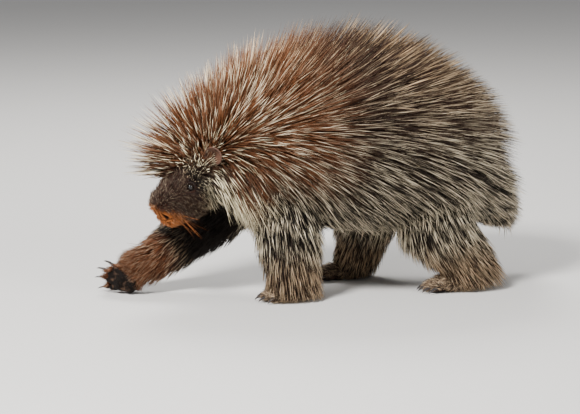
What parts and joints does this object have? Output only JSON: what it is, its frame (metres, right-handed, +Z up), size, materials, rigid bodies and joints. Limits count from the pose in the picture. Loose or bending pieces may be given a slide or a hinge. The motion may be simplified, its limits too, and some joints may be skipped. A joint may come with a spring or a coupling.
{
  "type": "north american porcupine model, walking",
  "caption": "Life-size porcupine walking with lowered head and one forefoot reaching out, long bristly coat and quills.",
  "frame": {"origin": "on the floor under the middle of the whole model", "axes": "+Z up, the nose toward -Y, the animal's left side toward +X"},
  "size_m": [0.4088, 0.8962, 0.5649],
  "materials": {
    "coat": "long bristly guard hair, dark brown with straw tips",
    "quill": "cream quills with dark tips",
    "face": "short dark fur, rusty on the nose",
    "ear": "thinly furred skin",
    "eye": "wet dark eye",
    "leg_fur": "rusty brown fur with straw tips",
    "sole": "bare pebbled black skin",
    "claw": "dark horn"
  },
  "bodies": {
    "root": {"torso": "coat", "neck": "coat", "head": "face", "ear_left": "ear", "ear_right": "ear", "eye_left": "eye", "eye_right": "eye", "tail": "coat", "foreleg_left": "leg_fur", "foreleg_right": "leg_fur", "hindleg_left": "leg_fur", "hindleg_right": "leg_fur", "forefoot_left": "sole", "forefoot_right": "sole", "hindfoot_left": "sole", "hindfoot_right": "sole", "claw_fore_left_1": "claw", "claw_fore_left_2": "claw", "claw_fore_left_3": "claw", "claw_fore_left_4": "claw", "claw_fore_right_1": "claw", "claw_fore_right_2": "claw", "claw_fore_right_3": "claw", "claw_fore_right_4": "claw", "claw_hind_left_1": "claw", "claw_hind_left_2": "claw", "claw_hind_left_3": "claw", "claw_hind_left_4": "claw", "claw_hind_left_5": "claw", "claw_hind_right_1": "claw", "claw_hind_right_2": "claw", "claw_hind_right_3": "claw", "claw_hind_right_4": "claw", "claw_hind_right_5": "claw"}
  },
  "joints": []
}
